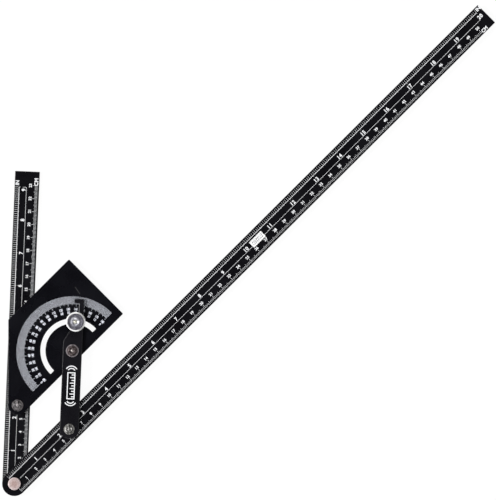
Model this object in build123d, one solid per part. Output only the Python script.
from build123d import *
import os
from math import atan2, cos, degrees, radians, sin, sqrt

# Folding angle finder: two flat rules hinged at A, a protractor plate and a link bar that close a
# parallelogram A-B-C-D of four pivots, and a thumb nut that locks the set angle.
#   A  main hinge, long arm to short arm        B  short arm to protractor plate
#   C  centre of the protractor, plate to link  D  long arm to link
# Frame, in millimetres: the origin is on the main hinge axis in the plane of the underside, +X runs
# along the long arm, +Y points to the side that the short arm opens to, +Z leaves the graduated face.
# The leaves lie in three layers: short arm; long arm and protractor plate; link bar.

# ---- driving dimensions --------------------------------------------------------------------------
PLATE_SIDE = 59.7  # A to D, and B to C
LINK_SIDE = 60.4  # A to B, and D to C
REST_ANGLE = 42.75  # angle between the arms as stored
LEAF = 2.4  # thickness of every leaf
LEAF_GAP = 0.15  # running gap between stacked leaves
EDGE_RADIUS = 0.45  # rounding of the upper outer edges

ARM_WIDTH = 19.0
LONG_ARM_LENGTH = 513.0  # main hinge to square end
SHORT_ARM_LENGTH = 240.8
ARM_CORNER = 0.5  # corner radius at a square end

BAR_WIDTH = 14.7  # link bar, and the protractor plate around its hinge
PLATE_RIGHT = 47.7  # plate edges, measured from the protractor centre
PLATE_TOP = 51.8
PLATE_CORNER = 0.9
SLOT_RADIUS = 22.85  # centre line of the arc slot
SLOT_WIDTH = 3.9
SLOT_START = -2.0  # degrees from the plate's base line
SLOT_END = 182.0
SLOT_CORNER = 0.6

SHOULDER_START = 7.2  # link bar beyond C: where the left side starts to draw in
SHOULDER_END = 15.0
WAIST = 2.8  # left side of the bar around the clamp screw
STEM_LEFT = 3.6  # inner side of the pointer's stem, right of the centre line
POINTER_LOW = 36.8  # lower and upper edge of the pointer's cap
POINTER_TOP = 40.0
POINTER_CORNER = 0.9
SCREW_ALONG = 22.4  # clamp screw, from C along the bar and to the right of its centre line
SCREW_RIGHT = 1.6

SHANK_RADIUS = 2.0  # rivets
RUNNING = 0.05  # radial clearance at the turning holes
OPEN_PIVOT = 0.10  # radial clearance of the plate on the centre rivet
FIXED = 0.02  # radial clearance of a shank in the leaf that it is fixed to
SEAT_GAP = 0.05  # gap beside a face that slides
HEAD_THICK = 1.2
RIVET_WASHER_THICK = 0.5
CLINCH_THICK = 0.7
CUP_RADIUS = 1.25  # hollow in the rolled end of a rivet
CUP_DEPTH = 0.95
RECESS_DEPTH = 1.3  # counterbores in the underside of the short arm
RECESS_MARGIN = 0.4

SCREW_RADIUS = 1.5
SCREW_HEAD_RADIUS = 4.6
NECK_SIDE = 3.0  # square neck that slides in the arc slot
NECK_HEIGHT = 2.3
NUT_WASHER_RADIUS = 7.5
NUT_WASHER_THICK = 1.0
NUT_RADIUS = 6.4
NUT_HEIGHT = 4.5
NUT_FLUTES = 36
FLUTE_RADIUS = 0.42
NUT_MOUTH_RADIUS = 2.6  # countersink around the screw's end
NUT_MOUTH_DEPTH = 0.9
SCREW_END_BELOW = 0.4  # screw end below the nut's top face

STICKER_CENTRE = (265.4, 1.35)
STICKER_SIZE = (13.0, 6.0, 0.12)

# ---- worked out ----------------------------------------------------------------------------------
ARM_HALF = ARM_WIDTH / 2
BAR_HALF = BAR_WIDTH / 2
LOW = 0.0  # underside of each layer
MID = LEAF + LEAF_GAP
HIGH = 2 * (LEAF + LEAF_GAP)
A = Vector(0, 0)
D = Vector(PLATE_SIDE, 0)
B = Vector(LINK_SIDE * cos(radians(REST_ANGLE)), LINK_SIDE * sin(radians(REST_ANGLE)))
C = B + D
BAR_FRAME = Location((C.X, C.Y, 0), (0, 0, REST_ANGLE - 90))  # local +Y along the bar, +X to its right
E = (BAR_FRAME * Pos(SCREW_RIGHT, SCREW_ALONG, 0)).position

os.makedirs("parts", exist_ok=True)


def save(shape, name):
    export_step(shape, "parts/" + name + ".step")


def at(point, z=0.0):
    return Pos(point.X, point.Y, z)


def disc(radius, z_low, z_high):
    return Pos(0, 0, z_low) * Cylinder(radius, z_high - z_low, align=(Align.CENTER, Align.CENTER, Align.MIN))


def upper_edges(shape, z):
    return [edge for edge in shape.edges() if abs(edge.center().Z - z) < 1e-4]


def leaf(outline, z_low):
    """A flat leaf with its upper outer edges rounded."""
    slab = Pos(0, 0, z_low) * extrude(outline, LEAF)
    return fillet(upper_edges(slab, z_low + LEAF), EDGE_RADIUS)


def arm_outline(length):
    """Full round about the hinge, square at the far end."""
    shape = Circle(ARM_HALF) + Pos(length / 2, 0) * Rectangle(length, ARM_WIDTH)
    far_corners = [v for v in shape.vertices() if v.X > length - 1]
    return fillet(far_corners, ARM_CORNER)


def plate_outline():
    """Seen from above, around C: square on the right, a 45 degree side tangent to the round at B."""
    slope_x = BAR_HALF / sqrt(2)
    tangent = (-PLATE_SIDE - slope_x, slope_x)
    top_left = (PLATE_TOP - PLATE_SIDE - BAR_HALF * sqrt(2), PLATE_TOP)
    bottom_right = (PLATE_RIGHT, -BAR_HALF)
    bottom_left = (-PLATE_SIDE, -BAR_HALF)
    middle = (-PLATE_SIDE - BAR_HALF * cos(radians(22.5)), -BAR_HALF * sin(radians(22.5)))
    edges = [
        Line(bottom_left, bottom_right),
        Line(bottom_right, (PLATE_RIGHT, PLATE_TOP)),
        Line((PLATE_RIGHT, PLATE_TOP), top_left),
        Line(top_left, tangent),
        ThreePointArc(tangent, middle, bottom_left),
    ]
    face = make_face(edges)
    corners = [v for v in face.vertices() if v.X > top_left[0] - 1]
    return fillet(corners, PLATE_CORNER)


def slot_outline():
    """Arc slot about C with nearly square ends."""
    sweep = SLOT_END - SLOT_START
    outer = CenterArc((0, 0), SLOT_RADIUS + SLOT_WIDTH / 2, SLOT_START, sweep)
    inner = CenterArc((0, 0), SLOT_RADIUS - SLOT_WIDTH / 2, SLOT_START, sweep)
    face = make_face([outer, inner, Line(outer @ 0, inner @ 0), Line(outer @ 1, inner @ 1)])
    return fillet(face.vertices(), SLOT_CORNER)


def bar_outline():
    """Around C, +Y along the bar: round end at D, waist around the screw, pointer with a hooked cap."""
    eye = SCREW_RIGHT + WAIST
    turn = SCREW_ALONG + sqrt(eye**2 - (STEM_LEFT - SCREW_RIGHT) ** 2)
    crown = (SCREW_RIGHT - eye / sqrt(2), SCREW_ALONG + eye / sqrt(2))
    edges = [
        ThreePointArc((-BAR_HALF, -LINK_SIDE), (0, -LINK_SIDE - BAR_HALF), (BAR_HALF, -LINK_SIDE)),
        Line((BAR_HALF, -LINK_SIDE), (BAR_HALF, POINTER_TOP)),
        Line((BAR_HALF, POINTER_TOP), (0, POINTER_TOP)),
        Line((0, POINTER_TOP), (0, POINTER_LOW)),
        Line((0, POINTER_LOW), (STEM_LEFT, POINTER_LOW)),
        Line((STEM_LEFT, POINTER_LOW), (STEM_LEFT, turn)),
        ThreePointArc((STEM_LEFT, turn), crown, (-WAIST, SCREW_ALONG)),
        Line((-WAIST, SCREW_ALONG), (-WAIST, SHOULDER_END)),
        Line((-WAIST, SHOULDER_END), (-BAR_HALF, SHOULDER_START)),
        Line((-BAR_HALF, SHOULDER_START), (-BAR_HALF, -LINK_SIDE)),
    ]
    face = make_face(edges)
    cap = [v for v in face.vertices() if v.Y > POINTER_LOW - 0.1]
    outer_corners = [v for v in cap if v.X < 0.1 or v.Y > POINTER_TOP - 0.1]
    return fillet(outer_corners, POINTER_CORNER)


def rivet(z_head, z_seat, head_radius, clinch_radius):
    """Semi-tubular rivet along +Z: factory head under z_head, end rolled over a washer at z_seat."""
    head = disc(head_radius, z_head - HEAD_THICK, z_head)
    head = fillet(upper_edges(head, z_head - HEAD_THICK), HEAD_THICK / 2)
    top = z_seat + CLINCH_THICK
    rolled = disc(clinch_radius, z_seat, top)
    rolled = fillet(upper_edges(rolled, top), CLINCH_THICK - 0.05)
    body = head + rolled + disc(SHANK_RADIUS, z_head, z_seat)
    cup = disc(CUP_RADIUS, top - CUP_DEPTH, top)
    body = body - cup
    mouth = [e for e in upper_edges(body, top) if e.radius < CUP_RADIUS + 0.01]
    return fillet(mouth, CLINCH_THICK - 0.05)


def rivet_washer(radius, z_low):
    ring = disc(radius, z_low, z_low + RIVET_WASHER_THICK)
    ring = ring - disc(SHANK_RADIUS + FIXED, z_low, z_low + RIVET_WASHER_THICK)
    outer = [e for e in upper_edges(ring, z_low + RIVET_WASHER_THICK) if e.radius > radius - 0.01]
    return fillet(outer, RIVET_WASHER_THICK / 3)


def upside_down(shape, z_sum):
    """Turned over about the X axis, so that z becomes z_sum - z."""
    return Pos(0, 0, z_sum) * Rot(180, 0, 0) * shape


# ---- leaves --------------------------------------------------------------------------------------
def make_long_arm():
    arm = leaf(arm_outline(LONG_ARM_LENGTH), MID)
    for pivot in (A, D):
        arm = arm - at(pivot) * disc(SHANK_RADIUS + FIXED, MID, MID + LEAF)
    return arm


def make_short_arm():
    arm = Rot(0, 0, REST_ANGLE) * leaf(arm_outline(SHORT_ARM_LENGTH), LOW)
    arm = arm - at(A) * disc(SHANK_RADIUS + RUNNING, LOW, LEAF)
    arm = arm - at(B) * disc(SHANK_RADIUS + FIXED, LOW, LEAF)
    for pivot, radius in ((A, WASHER_RADIUS["main_hinge"]), (B, HEAD_RADIUS["plate_hinge"])):
        arm = arm - at(pivot) * disc(radius + RECESS_MARGIN, LOW, RECESS_DEPTH)
    return arm


def make_plate():
    plate = at(C) * leaf(plate_outline(), MID)
    plate = plate - at(C, MID) * extrude(slot_outline(), LEAF)
    plate = plate - at(B) * disc(SHANK_RADIUS + RUNNING, MID, MID + LEAF)
    return plate - at(C) * disc(SHANK_RADIUS + OPEN_PIVOT, MID, MID + LEAF)


def make_link():
    bar = BAR_FRAME * leaf(bar_outline(), HIGH)
    bar = bar - at(D) * disc(SHANK_RADIUS + RUNNING, HIGH, HIGH + LEAF)
    bar = bar - at(C) * disc(SHANK_RADIUS + FIXED, HIGH, HIGH + LEAF)
    return bar - at(E) * disc(SCREW_RADIUS + FIXED, HIGH, HIGH + LEAF)


# ---- rivets and their washers --------------------------------------------------------------------
HEAD_RADIUS = {"main_hinge": 4.9, "plate_hinge": 4.4, "centre": 4.4, "link_hinge": 4.4}
WASHER_RADIUS = {"main_hinge": 4.9, "plate_hinge": 4.45, "centre": 4.9, "link_hinge": 4.15}
CLINCH_RADIUS = {"main_hinge": 3.6, "plate_hinge": 3.35, "centre": 3.65, "link_hinge": 3.5}


def make_fastener(name, z_head, z_washer):
    """Rivet with its head under z_head, and its washer from z_washer up."""
    washer = rivet_washer(WASHER_RADIUS[name], z_washer)
    z_seat = z_washer + RIVET_WASHER_THICK
    return rivet(z_head, z_seat, HEAD_RADIUS[name], CLINCH_RADIUS[name]), washer


def save_fasteners():
    # The main hinge is fitted from above: its head shows, and its rolled end is in the underside.
    turned = MID + LEAF + RECESS_DEPTH
    pieces = make_fastener("main_hinge", RECESS_DEPTH, MID + LEAF + SEAT_GAP)
    for part, kind in zip(pieces, ("rivet", "washer")):
        save(at(A) * upside_down(part, turned), "main_hinge_" + kind)
    from_below = (
        ("plate_hinge", B, RECESS_DEPTH, MID + LEAF + SEAT_GAP),
        ("centre", C, MID - SEAT_GAP, HIGH + LEAF),
        ("link_hinge", D, MID, HIGH + LEAF + SEAT_GAP),
    )
    for name, pivot, z_head, z_washer in from_below:
        for part, kind in zip(make_fastener(name, z_head, z_washer), ("rivet", "washer")):
            save(at(pivot) * part, name + "_" + kind)


# ---- angle lock ----------------------------------------------------------------------------------
NUT_WASHER_LOW = HIGH + LEAF + SEAT_GAP
NUT_LOW = NUT_WASHER_LOW + NUT_WASHER_THICK + SEAT_GAP
NUT_TOP = NUT_LOW + NUT_HEIGHT


def make_screw():
    """Round head under the plate, square neck in the slot, plain shank at the thread's diameter."""
    z_head = MID - SEAT_GAP
    head = disc(SCREW_HEAD_RADIUS, z_head - HEAD_THICK, z_head)
    head = fillet(upper_edges(head, z_head - HEAD_THICK), HEAD_THICK / 2)
    neck = Pos(0, 0, z_head + NECK_HEIGHT / 2) * Box(NECK_SIDE, NECK_SIDE, NECK_HEIGHT)
    across_slot = REST_ANGLE - 90 - degrees(atan2(SCREW_RIGHT, SCREW_ALONG))
    neck = Rot(0, 0, across_slot) * neck
    shank = disc(SCREW_RADIUS, z_head, NUT_TOP - SCREW_END_BELOW)
    shank = chamfer(upper_edges(shank, NUT_TOP - SCREW_END_BELOW), SCREW_RADIUS / 5)
    return at(E) * (head + neck + shank)


def make_nut_washer():
    top = NUT_WASHER_LOW + NUT_WASHER_THICK
    ring = disc(NUT_WASHER_RADIUS, NUT_WASHER_LOW, top)
    ring = fillet(ring.edges().filter_by(GeomType.CIRCLE), NUT_WASHER_THICK / 4)
    return at(E) * (ring - disc(SCREW_RADIUS + RUNNING, NUT_WASHER_LOW, top))


def make_nut():
    body = disc(NUT_RADIUS, NUT_LOW, NUT_TOP)
    body = chamfer(body.edges().filter_by(GeomType.CIRCLE), FLUTE_RADIUS)
    flute = Pos(NUT_RADIUS, 0, 0) * disc(FLUTE_RADIUS, NUT_LOW, NUT_TOP)
    for i in range(NUT_FLUTES):
        body = body - Rot(0, 0, i * 360 / NUT_FLUTES) * flute
    body = body - disc(SCREW_RADIUS + RUNNING, NUT_LOW, NUT_TOP)
    mouth = Cone(SCREW_RADIUS + RUNNING, NUT_MOUTH_RADIUS, NUT_MOUTH_DEPTH)
    return at(E) * (body - Pos(0, 0, NUT_TOP - NUT_MOUTH_DEPTH / 2) * mouth)


def make_sticker():
    x, y = STICKER_CENTRE
    return Pos(x, y, MID + LEAF + STICKER_SIZE[2] / 2) * Box(*STICKER_SIZE)


save(make_long_arm(), "long_arm")
save(make_short_arm(), "short_arm")
save(make_plate(), "protractor_plate")
save(make_link(), "link_bar")
save_fasteners()
save(make_screw(), "clamp_screw")
save(make_nut_washer(), "nut_washer")
save(make_nut(), "thumb_nut")
save(make_sticker(), "label_sticker")
